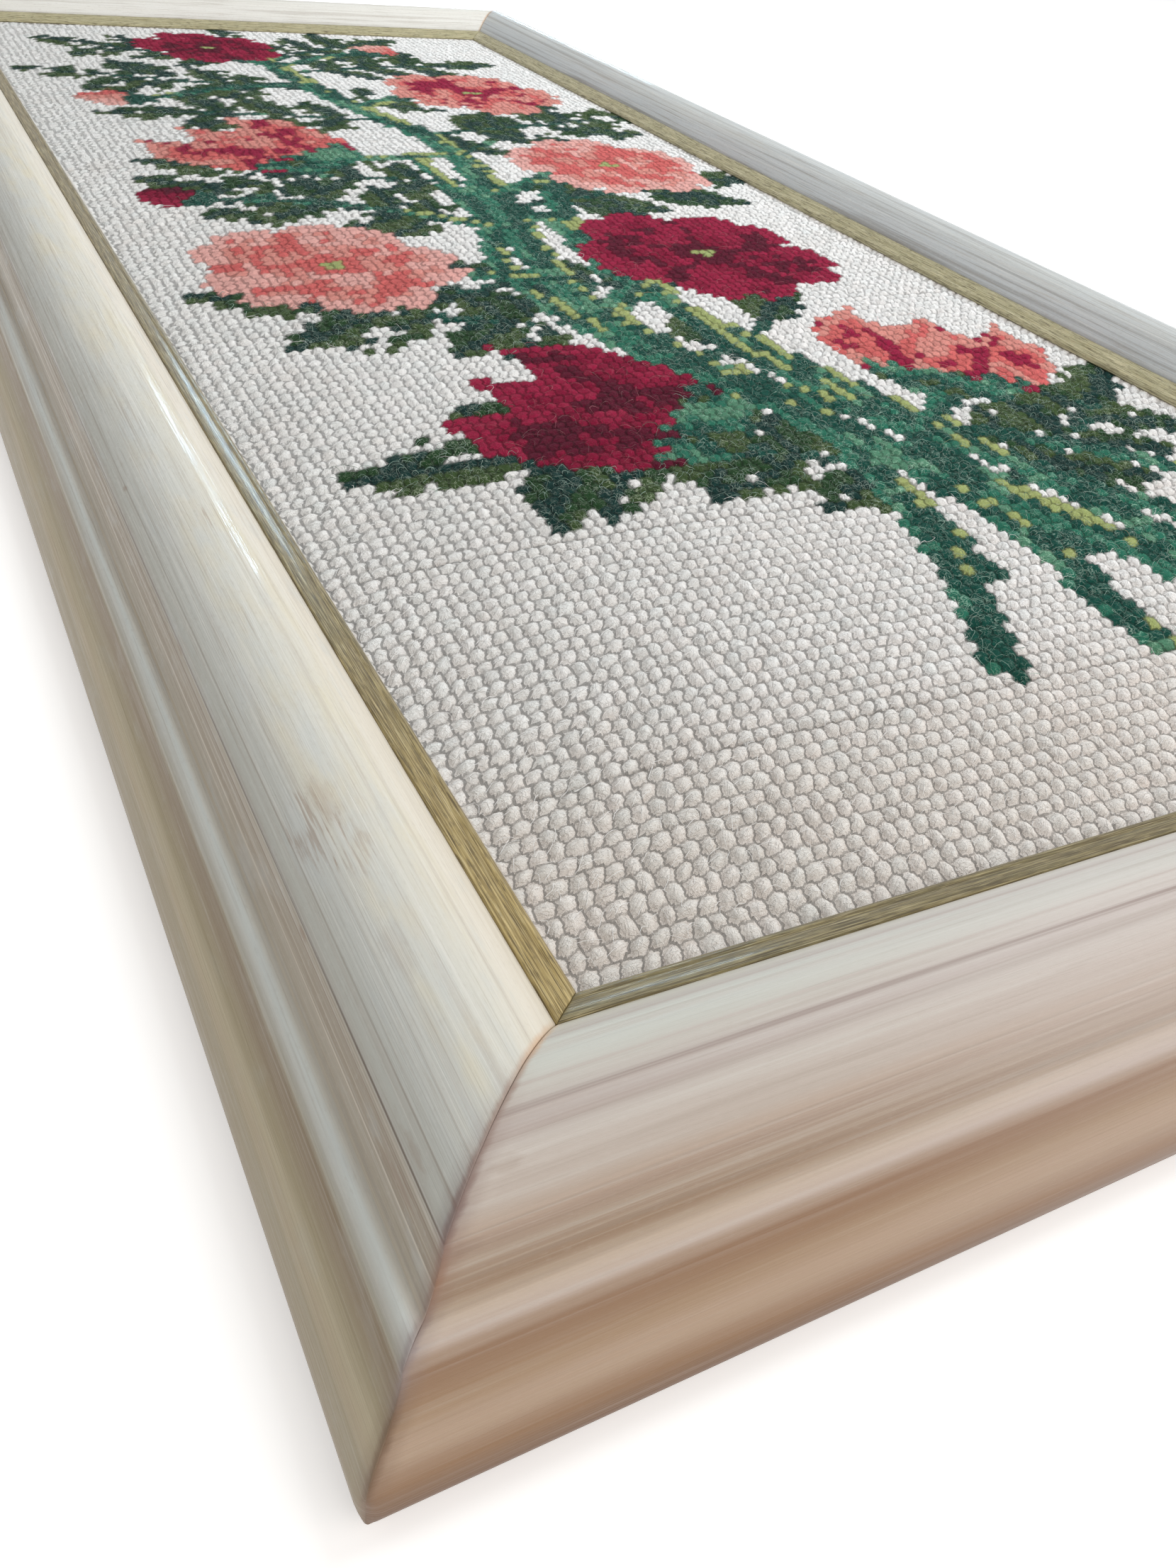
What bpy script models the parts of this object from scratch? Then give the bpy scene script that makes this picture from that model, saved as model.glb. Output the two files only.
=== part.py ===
"""Framed needlepoint picture, lying on its back.

A canvas worked all over in wool tent stitch is stretched on a flat board and held in a mitred frame
of moulded, whitened wood with a narrow gilt slip round the opening.

Metres, +Z out of the picture's face, +Y up the picture, +X to its right. The origin is on the plane
of the frame's back, under the middle of the picture.
"""

from math import atan, atan2, cos, hypot, pi, sin, sqrt

import bmesh
import bpy
from mathutils import Vector

MM = 0.001

# Driving dimensions
SIGHT_WIDTH = 200.0 * MM
SIGHT_LENGTH = 510.0 * MM
FACE_HEIGHT = 14.5 * MM
GAP = 0.3 * MM

# The frame's rebate, which holds the slip, the canvas and the board
REBATE_REACH = 9.0 * MM
LEDGE_HEIGHT = 1.5 * MM
CORNER_EASE = 2.0 * MM
CORNER_STEPS = 6

CLOTH_THICKNESS = 2.5 * MM
BOARD_THICKNESS = 3.0 * MM
SLIP_TONGUE = 0.9 * MM

# The moulding's show face, from the opening outwards. Out is measured from the sight edge and up from
# the stitches' face. Swell is how far the arc to the next point stands out of the straight line
# between them, and a hollow has a negative one.
MOULDING_FACE = (
    # feature, out, up, swell, steps
    ("slip edge", 4.9, 3.0, 0.45, 5),
    ("crown, inner side", 11.5, 8.4, 0.75, 8),
    ("crown, outer side", 19.5, 8.7, 0.32, 5),
    ("shoulder", 23.7, 5.9, -0.60, 6),
    ("bead, inner side", 26.2, 0.5, 0.45, 6),
    ("bead, outer side", 28.9, -0.5, -0.75, 6),
    ("base, top", 31.6, -6.3, 0.50, 5),
    ("base, widest", 33.8, -10.8, 0.60, 6),
    ("foot", 31.8, -14.5, 0.0, 1),
)

# The gilt slip's show face in the same measures: a rounded nose, a fine groove and a sloping band
SLIP_FACE = (
    # feature, out, up, swell, steps
    ("nose, foot", 0.0, 0.3, 0.35, 5),
    ("groove", 1.6, 1.55, 0.12, 4),
    ("outer edge", 4.6, 2.85, 0.0, 1),
)

# Colour, roughness and metallic value of each material
FINISHES = {
    "whitened wood": ((0.66, 0.61, 0.54), 0.38, 0.0),
    "gilt": ((0.42, 0.33, 0.13), 0.40, 0.6),
    "wool": ((0.76, 0.71, 0.66), 0.95, 0.0),
    "pressed board": ((0.38, 0.30, 0.21), 0.85, 0.0),
}


def clear_scene():
    """Start from an empty scene."""
    for old in list(bpy.data.objects):
        bpy.data.objects.remove(old, do_unlink=True)


def material(name):
    """The Principled material of one finish, made once and shared after that."""
    if name in bpy.data.materials:
        return bpy.data.materials[name]
    colour, roughness, metallic = FINISHES[name]
    made = bpy.data.materials.new(name)
    made.use_nodes = True
    shader = made.node_tree.nodes["Principled BSDF"]
    shader.inputs["Base Color"].default_value = (*colour, 1.0)
    shader.inputs["Roughness"].default_value = roughness
    shader.inputs["Metallic"].default_value = metallic
    made.diffuse_color = (*colour, 1.0)
    return made


def add_object(name, mesh, finish):
    """Put a mesh in the scene as one named piece."""
    piece = bpy.data.objects.new(name, mesh)
    bpy.context.scene.collection.objects.link(piece)
    mesh.materials.append(material(finish))
    return piece


def swelled(start, end, swell, steps):
    """Points from start up to, but not with, end, on the arc that swells out of their chord."""
    along = (end[0] - start[0], end[1] - start[1])
    chord = hypot(*along)
    if abs(swell) < 1e-9:
        return [start]
    half_turn = 2 * atan(2 * swell / chord)
    radius = chord / (2 * sin(half_turn))
    heading = atan2(along[1], along[0])
    points = []
    for step in range(steps):
        turned = half_turn * (1 - 2 * step / steps)
        across = chord / 2 - radius * sin(turned)
        rise = radius * (cos(turned) - cos(half_turn))
        points.append((
            start[0] + across * cos(heading) - rise * sin(heading),
            start[1] + across * sin(heading) + rise * cos(heading),
        ))
    return points


def face_outline(rows):
    """A show face's points, in metres: out from the sight edge and up from the frame's back."""
    points = []
    for here, there in zip(rows, rows[1:]):
        _, out, up, swell, steps = here
        points += swelled((out, up), (there[1], there[2]), swell, steps)
    points.append((rows[-1][1], rows[-1][2]))
    return [(out * MM, up * MM + FACE_HEIGHT) for out, up in points]


def moulding_outline():
    """The wood moulding's closed section: the show face, then the back and the rebate."""
    face = face_outline(MOULDING_FACE)
    slip_edge = face[0][0]
    ledge = FACE_HEIGHT + LEDGE_HEIGHT
    return face + [(REBATE_REACH, 0.0), (REBATE_REACH, ledge), (slip_edge, ledge)]


def slip_outline():
    """The gilt slip's closed section: the show face, then the tongue under the wood's ledge."""
    face = face_outline(SLIP_FACE)
    outer_edge = face[-1][0]
    underside = FACE_HEIGHT + GAP
    tongue_top = underside + SLIP_TONGUE
    tongue_end = REBATE_REACH - GAP
    return face + [(outer_edge, tongue_top), (tongue_end, tongue_top), (tongue_end, underside)]


def mitred_length(section, sight):
    """One side of the frame: the section run along X and cut at 45 degrees at both ends.

    The sight edge lies on Y = 0 and the section runs out along -Y.
    """
    work = bmesh.new()
    half, setback = sight / 2, GAP / sqrt(2)
    left, right = (
        [work.verts.new((side * (half + out - setback), -out, up)) for out, up in section]
        for side in (-1, 1)
    )
    work.faces.new(left)
    work.faces.new(list(reversed(right)))
    count = len(section)
    for index in range(count):
        following = (index + 1) % count
        work.faces.new((left[following], left[index], right[index], right[following]))
    bmesh.ops.recalc_face_normals(work, faces=work.faces)
    mesh = bpy.data.meshes.new("mitred length")
    work.to_mesh(mesh)
    work.free()
    return mesh


def corner_guide(width, length, height):
    """A tall block with the frame's outside size and eased upright corners, which trims the mitres."""
    work = bmesh.new()
    bmesh.ops.create_cube(work, size=1.0)
    bmesh.ops.scale(work, vec=Vector((width, length, 3 * height)), verts=work.verts)
    upright = [e for e in work.edges if abs(e.verts[0].co.z - e.verts[1].co.z) > height]
    bmesh.ops.bevel(
        work, geom=upright, offset=CORNER_EASE, segments=CORNER_STEPS, profile=0.5, affect="EDGES"
    )
    mesh = bpy.data.meshes.new("corner guide")
    work.to_mesh(mesh)
    work.free()
    guide = bpy.data.objects.new("corner_guide", mesh)
    bpy.context.scene.collection.objects.link(guide)
    guide.hide_render = True
    guide.display_type = "WIRE"
    return guide


def frame_sides():
    """Name, turn about Z, sight length and distance of the sight edge from the middle, side by side."""
    half_width, half_length = SIGHT_WIDTH / 2, SIGHT_LENGTH / 2
    return (
        ("bottom", 0.0, SIGHT_WIDTH, half_length),
        ("right", pi / 2, SIGHT_LENGTH, half_width),
        ("top", pi, SIGHT_WIDTH, half_length),
        ("left", -pi / 2, SIGHT_LENGTH, half_width),
    )


def add_frame_lengths(prefix, section, finish):
    """Four mitred lengths of one section round the opening."""
    pieces = []
    for side, turn, sight, distance in frame_sides():
        piece = add_object(f"{prefix}_{side}", mitred_length(section, sight), finish)
        piece.rotation_euler = (0.0, 0.0, turn)
        piece.location = (distance * sin(turn), -distance * cos(turn), 0.0)
        pieces.append(piece)
    return pieces


def ease_corners(rails, guide):
    """Trim the rails' outside corners to the guide."""
    for rail in rails:
        trim = rail.modifiers.new("eased corners", "BOOLEAN")
        trim.operation = "INTERSECT"
        trim.solver = "EXACT"
        trim.object = guide


def add_flat_layer(name, reach, top, thickness, finish):
    """A flat rectangular layer that reaches a given distance past the sight edge all round."""
    work = bmesh.new()
    bmesh.ops.create_cube(work, size=1.0)
    size = Vector((SIGHT_WIDTH + 2 * reach, SIGHT_LENGTH + 2 * reach, thickness))
    bmesh.ops.scale(work, vec=size, verts=work.verts)
    bmesh.ops.translate(work, vec=Vector((0, 0, top - thickness / 2)), verts=work.verts)
    mesh = bpy.data.meshes.new(name)
    work.to_mesh(mesh)
    work.free()
    return add_object(name, mesh, finish)


def main():
    clear_scene()
    moulding = moulding_outline()
    widest = max(out for out, _ in moulding)
    tallest = max(up for _, up in moulding)

    rails = add_frame_lengths("rail", moulding, "whitened wood")
    guide = corner_guide(SIGHT_WIDTH + 2 * widest, SIGHT_LENGTH + 2 * widest, tallest)
    ease_corners(rails, guide)
    add_frame_lengths("gilt_slip", slip_outline(), "gilt")

    layer_reach = REBATE_REACH - GAP
    board_top = FACE_HEIGHT - CLOTH_THICKNESS - GAP
    add_flat_layer("needlepoint", layer_reach, FACE_HEIGHT, CLOTH_THICKNESS, "wool")
    add_flat_layer("mounting_board", layer_reach, board_top, BOARD_THICKNESS, "pressed board")


main()
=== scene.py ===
"""Looks of the framed needlepoint picture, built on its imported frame.

Lengths are in millimetres in the frame's own axes: X across the picture, Y up it and Z out of its
face, with the origin on the plane of the frame's back. Meshes are scaled to metres as they are made,
and the places in the scene that materials read are in metres.
"""

from math import atan, atan2, cos, hypot, pi, radians, sin

import bpy
import numpy as np
from mathutils import Matrix


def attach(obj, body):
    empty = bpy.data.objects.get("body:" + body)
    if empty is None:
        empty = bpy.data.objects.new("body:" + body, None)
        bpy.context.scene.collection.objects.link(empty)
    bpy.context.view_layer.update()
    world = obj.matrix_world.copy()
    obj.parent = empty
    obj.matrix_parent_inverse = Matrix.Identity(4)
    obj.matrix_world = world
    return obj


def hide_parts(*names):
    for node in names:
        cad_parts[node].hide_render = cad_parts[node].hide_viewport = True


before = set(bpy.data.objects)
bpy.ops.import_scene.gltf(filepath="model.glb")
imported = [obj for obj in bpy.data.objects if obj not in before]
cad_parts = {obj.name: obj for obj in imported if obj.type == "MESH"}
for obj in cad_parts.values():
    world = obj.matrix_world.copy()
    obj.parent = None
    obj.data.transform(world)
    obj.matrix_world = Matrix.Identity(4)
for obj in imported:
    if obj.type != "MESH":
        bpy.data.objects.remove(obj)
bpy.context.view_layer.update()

MM = 0.001
SEED = 7

# The opening, the stitches' face, the rebate and the gap between pieces, as in the solids
SIGHT_WIDTH = 200.0
SIGHT_LENGTH = 510.0
HALF_WIDTH = SIGHT_WIDTH / 2
HALF_LENGTH = SIGHT_LENGTH / 2
FACE_HEIGHT = 14.5
REBATE_REACH = 9.0
LEDGE_HEIGHT = 1.5
LAYER_REACH = 8.7
CORNER_EASE = 2.0
GAP = 0.3

# Show faces: feature, out from the sight edge, up from the stitches' face, swell of the arc to the next
# point and the number of steps on it
MOULDING_FACE = (
    ("slip edge", 4.9, 3.0, 0.45, 9),
    ("crown, inner side", 11.5, 8.4, 0.75, 12),
    ("crown, outer side", 19.5, 8.7, 0.32, 9),
    ("shoulder", 23.7, 5.9, -0.6, 10),
    ("bead, inner side", 26.2, 0.5, 0.45, 9),
    ("bead, outer side", 28.9, -0.5, -0.75, 10),
    ("base, top", 31.6, -6.3, 0.5, 8),
    ("base, widest", 33.8, -10.8, 0.6, 8),
    ("foot", 31.8, -14.5, 0.0, 1),
)
SLIP_FACE = (
    ("nose, foot", 0.0, 0.3, 0.35, 9),
    ("groove", 1.6, 1.55, 0.12, 7),
    ("outer edge", 4.82, 2.94, 0.0, 1),
)

# The slip's tongue: its start and end, out from the sight edge, and its top above the stitches' face
SLIP_TONGUE_START = 4.6
SLIP_TONGUE_END = 8.7
SLIP_TONGUE_TOP = 1.2

# How far the cross-sections near a mitre lie from it, how far the outer ones' shown points are rounded
# off, and the spacing of the sections between
END_SECTIONS = (0.02, 0.07, 0.16, 0.3, 0.6, 1.1, 1.8, 2.8)
END_ROUNDING = (0.07, 0.03, 0.01, 0.0)
SECTION_SPACING = 9.0

# Height of the slight waves along the moulding, and their lengths, each over a turn of 2 pi
WAVE_HEIGHT = 0.012
WAVE_LENGTHS = (9.0, 17.0, 31.0)

# Sides of the frame: name, turn about Z, half sight length, distance of the sight edge from the middle,
# and the mark that tells the wood's material which rail it is on
SIDES = (
    ("bottom", 0.0, HALF_WIDTH, HALF_LENGTH, 1.0),
    ("right", pi / 2, HALF_LENGTH, HALF_WIDTH, -1.0),
    ("top", pi, HALF_WIDTH, HALF_LENGTH, -2.0),
    ("left", -pi / 2, HALF_LENGTH, HALF_WIDTH, 0.0),
)

# The step that sets the sides' grain apart
SIDE_STEP = 31.0

# Needlepoint: the unit of the design, the pitches of the stitches across and up the picture, the
# chart's columns and rows, and the columns between which it is stitched
UNIT = 2.54
COLUMN_PITCH = 2.5
ROW_PITCH = 2.84
CHART_COLUMNS, CHART_ROWS = 82, 183
FIRST_COLUMN, LAST_COLUMN = -1, 81

# The canvas, pulled out of square: how far its left part is drawn down, from where and over what width, and
# how far its bottom edge is held back to the left, over what length
DRAWN_DOWN, DRAWN_FROM, DRAWN_WIDTH = 5.6, -35.0, 65.0
HELD_BACK, HELD_LENGTH = 2.2, 70.0

# Where the stitches meet the slip: how far they pass the opening's top edge, the width of the strip along
# the opening that rises to the slip, how far under the highest wool it stays, and the share of red, green
# and blue that painted shade takes off that strip, for the slip's shadow
PAST_TOP = 2.2
EDGE_WIDTH = 0.6
EDGE_DROP = 0.02
EDGE_SHADE = (0.3, 0.36, 0.42)

# Heights of the canvas, the hollows, the crests and the highest wool, and a stitch's size and slant
CANVAS_BOTTOM = 12.0
CANVAS_TOP = 13.2
HOLLOW = 13.86
CREST = 14.56
STITCH_TOP = 14.78
STITCH_LENGTH = 3.75
STITCH_WIDTH = 2.4
STITCH_SLANT = radians(47)

# First row, last row and mesh steps to a stitch of each band of the stitched surface
BANDS = ((-1, 11, 8), (11, 31, 6), (31, 65, 5), (65, 110, 4), (110, 181, 3))

# How sharply neighbouring stitches' colours, their crests, and crests and hollows pass into each other
COLOUR_MELT = 18
CREST_MELT = 9
HOLLOW_MELT = 6

# Camera, worked out from the frame's edges in the photograph; its nearest distance is in metres
CAMERA_PLACE = (-146.7, -328.4, 109.7)
CAMERA_HEADING = radians(31.34)
CAMERA_DIP = radians(38.15)
CAMERA_ROLL = radians(7.75)
CAMERA_LENS = 29.25
CAMERA_CLIP = 0.005
SENSOR_WIDTH = 36.0

# Yarn colours, scene linear
YARNS = {
    "cream": (0.965, 0.97, 0.965), "crimson": (0.235, 0.005, 0.037),
    "maroon": (0.108, 0.005, 0.024), "rose red": (0.32, 0.012, 0.054),
    "coral": (0.68, 0.145, 0.14), "salmon": (0.76, 0.3, 0.26),
    "pink": (0.88, 0.46, 0.42), "olive": (0.018, 0.06, 0.02),
    "blue green": (0.006, 0.039, 0.035), "moss": (0.048, 0.088, 0.029),
    "emerald": (0.006, 0.072, 0.054), "sea green": (0.024, 0.165, 0.108),
    "mint": (0.092, 0.262, 0.165), "lime": (0.37, 0.44, 0.165),
}
YARN_NAMES, DYES = list(YARNS), np.array(list(YARNS.values()))
LEAF_YARNS = ("olive", "blue green", "moss")
GREEN_YARNS = (*LEAF_YARNS, "emerald", "sea green", "mint")

# Brown stains and smudges of each rail: middle along it and round its face, half length, half width,
# strength, and whether it is broken into dashes
WOOD_STAINS = {
    "left": (
        (228.5, 14.6, 5.5, 1.7, 0.26, False), (231.5, 17.0, 6.5, 3.0, 0.5, True),
        (236.0, 14.2, 6.0, 2.2, 0.36, True), (242.0, 22.9, 1.4, 0.7, 0.6, False),
        (251.0, 14.7, 4.0, 1.6, 0.16, False), (270.0, 20.9, 4.0, 0.5, 0.45, False),
        (270.0, 24.5, 5.0, 1.2, 0.45, True), (149.0, 19.8, 1.0, 0.45, 0.55, False),
        (164.0, 11.2, 3.5, 0.5, 0.5, True), (112.0, 24.9, 5.0, 0.32, 0.85, False),
        (134.5, 23.0, 2.5, 0.32, 0.7, False), (190.0, 22.3, 1.6, 0.6, 0.6, False),
    ),
    "bottom": (
        (-122.2, 23.1, 2.2, 0.8, 0.5, False), (-117.0, 17.8, 1.6, 0.8, 0.25, False),
    ),
}

# Thin lines that run the whole length: place round the face, half width, strength on the sides and on the
# bottom rail, and colour
WOOD_LINES = (
    (21.9, 0.28, 1.0, 0.15, (0.115, 0.08, 0.052)), (19.6, 0.16, 0.5, 0.0, (0.25, 0.21, 0.17)),
    (16.9, 0.13, 0.3, 0.0, (0.3, 0.26, 0.22)), (23.6, 0.18, 0.55, 0.15, (0.22, 0.155, 0.11)),
    (22.9, 0.18, 0.4, 0.0, (0.66, 0.6, 0.52)), (24.8, 0.14, 0.45, 0.0, (0.6, 0.54, 0.44)),
    (25.8, 0.16, 0.6, 0.15, (0.74, 0.68, 0.58)), (27.7, 0.26, 0.4, 0.1, (0.56, 0.46, 0.3)),
    (13.7, 0.55, 0.0, 0.7, (0.29, 0.22, 0.2)), (15.6, 0.8, 0.0, 0.4, (0.38, 0.3, 0.27)),
    (5.2, 0.4, 0.0, 0.5, (0.42, 0.33, 0.29)), (11.4, 0.35, 0.0, 0.38, (0.48, 0.39, 0.36)),
)

# Colour along the show face's girth: share of it from the slip's edge to the foot, red, green and blue.
# The cool one is for the sides and the top, and the warm one for the bottom rail, which is rosier; these
# cool and rosy tones are partly the wood's own and partly painted cool and warm light. The bright bands
# near the slip's edge and the bead's pale band are partly painted highlights, and the cove, the base and
# the foot are darker partly by glaze and partly by painted shade.
GIRTH = 47.2
COOL_BANDS = (
    (0.0, 0.66, 0.6, 0.5), (0.1, 0.685, 0.64, 0.555), (0.19, 0.6, 0.585, 0.52),
    (0.28, 0.56, 0.568, 0.53), (0.36, 0.515, 0.528, 0.5), (0.44, 0.495, 0.5, 0.455),
    (0.462, 0.42, 0.4, 0.35), (0.478, 0.37, 0.325, 0.26), (0.54, 0.345, 0.285, 0.21),
    (0.575, 0.48, 0.43, 0.345), (0.6, 0.62, 0.61, 0.55), (0.615, 0.65, 0.69, 0.67),
    (0.638, 0.49, 0.48, 0.43), (0.657, 0.34, 0.31, 0.235), (0.69, 0.205, 0.146, 0.078),
    (0.735, 0.24, 0.172, 0.09), (0.77, 0.39, 0.325, 0.205), (0.793, 0.56, 0.49, 0.345),
    (0.816, 0.5, 0.42, 0.29), (0.84, 0.375, 0.315, 0.21), (0.9, 0.3, 0.24, 0.15),
    (0.95, 0.2, 0.14, 0.075), (1.0, 0.14, 0.09, 0.045),
)
WARM_BANDS = (
    (0.0, 0.5, 0.465, 0.385), (0.05, 0.57, 0.54, 0.475), (0.1, 0.5, 0.465, 0.43),
    (0.14, 0.575, 0.585, 0.535), (0.21, 0.565, 0.565, 0.515), (0.26, 0.54, 0.505, 0.46),
    (0.31, 0.48, 0.42, 0.39), (0.36, 0.56, 0.505, 0.46), (0.43, 0.52, 0.45, 0.395),
    (0.462, 0.485, 0.38, 0.305), (0.484, 0.395, 0.292, 0.225), (0.53, 0.395, 0.295, 0.22),
    (0.572, 0.36, 0.25, 0.17), (0.6, 0.64, 0.53, 0.43), (0.635, 0.54, 0.44, 0.38),
    (0.655, 0.385, 0.272, 0.195), (0.685, 0.255, 0.136, 0.065), (0.725, 0.285, 0.16, 0.08),
    (0.76, 0.405, 0.28, 0.183), (0.79, 0.49, 0.36, 0.265), (0.81, 0.46, 0.338, 0.245),
    (0.835, 0.37, 0.25, 0.168), (0.86, 0.288, 0.168, 0.09), (0.89, 0.208, 0.109, 0.05),
    (0.94, 0.128, 0.06, 0.025), (1.0, 0.08, 0.038, 0.018),
)

# Colour of the line along the mitre, by the same shares
MITRE_LINE = (
    (0.0, 0.6, 0.5, 0.38), (0.14, 0.58, 0.38, 0.24), (0.24, 0.3, 0.2, 0.16), (0.44, 0.19, 0.12, 0.11),
    (0.54, 0.3, 0.16, 0.1), (0.63, 0.28, 0.23, 0.23), (0.75, 0.19, 0.115, 0.07), (1.0, 0.2, 0.115, 0.065),
)


# Mesh making


def add_object(name, data):
    """Put a mesh, a lamp or a camera in the scene."""
    made = bpy.data.objects.new(name, data)
    bpy.context.scene.collection.objects.link(made)
    return made


def swelled(start, end, swell, steps):
    """Points from start up to, but not with, end, on the arc that swells out of their chord."""
    along = (end[0] - start[0], end[1] - start[1])
    chord = hypot(*along)
    if abs(swell) < 1e-9:
        return [start]
    half_turn = 2 * atan(2 * swell / chord)
    radius = chord / (2 * sin(half_turn))
    heading = atan2(along[1], along[0])
    points = []
    for step in range(steps):
        turned = half_turn * (1 - 2 * step / steps)
        across = chord / 2 - radius * sin(turned)
        rise = radius * (cos(turned) - cos(half_turn))
        points.append((
            start[0] + across * cos(heading) - rise * sin(heading),
            start[1] + across * sin(heading) + rise * cos(heading),
        ))
    return points


def face_outline(rows):
    """A show face's points: out from the sight edge and up from the frame's back."""
    points = []
    for (_, out, up, swell, steps), there in zip(rows, rows[1:]):
        points += swelled((out, up), there[1:3], swell, steps)
    return np.array([*points, rows[-1][1:3]]) + (0.0, FACE_HEIGHT)


def add_piece(name, material, slot, points, faces, attributes, places, nodes=()):
    """A piece that rides on the frame and stands for the given nodes, from points in millimetres.

    Each array of faces has one corner count. Places are the faces' corners on a flat texture, array by
    array like the faces.
    """
    mesh = bpy.data.meshes.new(name)
    corners = np.concatenate([f.ravel() for f in faces]).astype(np.int32)
    counts = np.concatenate([np.full(len(f), f.shape[1], np.int32) for f in faces])
    mesh.vertices.add(len(points))
    mesh.vertices.foreach_set("co", (np.asarray(points, np.float32) * MM).ravel())
    mesh.loops.add(len(corners))
    mesh.loops.foreach_set("vertex_index", corners)
    mesh.polygons.add(len(counts))
    starts = np.concatenate([[0], np.cumsum(counts)[:-1]]).astype(np.int32)
    mesh.polygons.foreach_set("loop_start", starts)
    mesh.polygons.foreach_set("use_smooth", np.ones(len(counts), bool))
    mesh.update(calc_edges=True)
    for label, values in attributes.items():
        kind, key = "FLOAT_VECTOR", "vector"
        if label == "dye":
            kind, key, values = "FLOAT_COLOR", "color", np.insert(values, 3, 1, axis=1)
        layer = mesh.attributes.new(label, kind, "POINT")
        layer.data.foreach_set(key, np.asarray(values, np.float32).ravel())
    flat = np.concatenate([p.reshape(-1, 2) for p in places]).astype(np.float32)
    mesh.uv_layers.new(name="OFBake").data.foreach_set("uv", flat.ravel())
    mesh.materials.append(material)
    piece = add_object(name, mesh)
    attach(piece, "root")
    if nodes:
        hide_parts(*nodes)
    return piece


def grid_faces(index):
    """Quads over a grid of points, and the points round its rim in turn."""
    quads = np.stack([index[:-1, :-1], index[1:, :-1], index[1:, 1:], index[:-1, 1:]], 2).reshape(-1, 4)
    return quads, np.concatenate([index[:, 0], index[-1, 1:], index[-2::-1, -1], index[0, -2:0:-1]])


def strip(count, low, high):
    """Places for a row of quads along the foot of a texture."""
    left = np.arange(count) / count
    right, low, high = left + 1 / count, left * 0 + low, left * 0 + high
    return np.stack([left, high, left, low, right, low, right, high], 1).reshape(-1, 4, 2)


# Materials


class Finish:
    """A material and short ways to add its nodes."""

    def __init__(self, name):
        self.material = bpy.data.materials.new(name)
        self.material.use_nodes = True
        self.tree = self.material.node_tree
        self.shader = self.tree.nodes["Principled BSDF"]

    def add(self, kind, inputs=(), **settings):
        node = self.tree.nodes.new(kind)
        for key, value in settings.items():
            setattr(node, key, value)
        for key, value in dict(inputs).items():
            self.feed(node.inputs[key], value)
        return node

    def feed(self, socket, value):
        if isinstance(value, bpy.types.NodeSocket):
            self.tree.links.new(value, socket)
        elif isinstance(value, tuple) and socket.type == "RGBA":
            socket.default_value = (*value, 1.0)
        else:
            socket.default_value = value

    def set(self, **values):
        for key, value in values.items():
            self.feed(self.shader.inputs[key.replace("_", " ")], value)

    def attribute(self, name, output="Vector"):
        return self.add("ShaderNodeAttribute", attribute_name=name).outputs[output]

    def place(self):
        return self.add("ShaderNodeTexCoord").outputs["Object"]

    def parts(self, vector):
        return self.add("ShaderNodeSeparateXYZ", {0: vector}).outputs

    def moved(self, vector, scale=(1, 1, 1), shift=(0, 0, 0)):
        inputs = {"Vector": vector, "Scale": scale, "Location": shift}
        return self.add("ShaderNodeMapping", inputs).outputs["Vector"]

    def noise(self, vector, scale, detail, roughness):
        inputs = {"Vector": vector, "Scale": scale, "Detail": detail, "Roughness": roughness}
        return self.add("ShaderNodeTexNoise", inputs).outputs[0]

    def streaks(self, grain, length, width, shift, detail=3.0, roughness=0.6):
        """Noise drawn out along the grain."""
        place = self.moved(grain, (1 / length, 1 / width, 1), (0, 0, shift))
        return self.noise(place, 1.0, detail, roughness)

    def math(self, operation, first, second=0.0):
        return self.add("ShaderNodeMath", {0: first, 1: second}, operation=operation).outputs[0]

    def times(self, first, *others):
        for other in others:
            first = self.math("MULTIPLY", first, other)
        return first

    def plus(self, first, second, amount=1.0):
        """The first value with so much of the second."""
        return self.math("ADD", first, second if amount == 1.0 else self.times(second, amount))

    def centred(self, noise, width):
        return self.times(self.math("SUBTRACT", noise, 0.5), width)

    def apart(self, first, second):
        return self.math("ABSOLUTE", self.math("SUBTRACT", first, second))

    def between(self, value, low, high, to_low=0.0, to_high=1.0):
        """A soft step from one value at low to another at high."""
        inputs = {"Value": value, "From Min": low, "From Max": high, "To Min": to_low, "To Max": to_high}
        return self.add("ShaderNodeMapRange", inputs, interpolation_type="SMOOTHSTEP").outputs[0]

    def ramp(self, value, stops):
        node = self.add("ShaderNodeValToRGB", {"Fac": value})
        elements = node.color_ramp.elements
        while len(elements) < len(stops):
            elements.new(0.5)
        for element, (position, *colour) in zip(elements, stops):
            element.position = position
            element.color = (*colour, 1.0)
        return node.outputs["Color"]

    def mix(self, amount, first, second, blend="MIX"):
        inputs = {0: amount, 6: first, 7: second}
        return self.add("ShaderNodeMix", inputs, data_type="RGBA", blend_type=blend).outputs[2]

    def colour_times(self, colour, dye):
        return self.mix(1.0, colour, dye, "MULTIPLY")

    def tinted(self, colour, rows):
        """The colour mixed row by row with another: what it follows, from where, to where, how much in
        the end, the other colour, and what limits it.
        """
        for value, start, end, amount, other, *limits in rows:
            share = self.times(self.between(value, start, end, 0.0, amount), *limits)
            colour = self.mix(share, colour, other)
        return colour

    def bump(self, height, distance):
        return self.add("ShaderNodeBump", {"Height": height, "Distance": distance}).outputs["Normal"]


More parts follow.
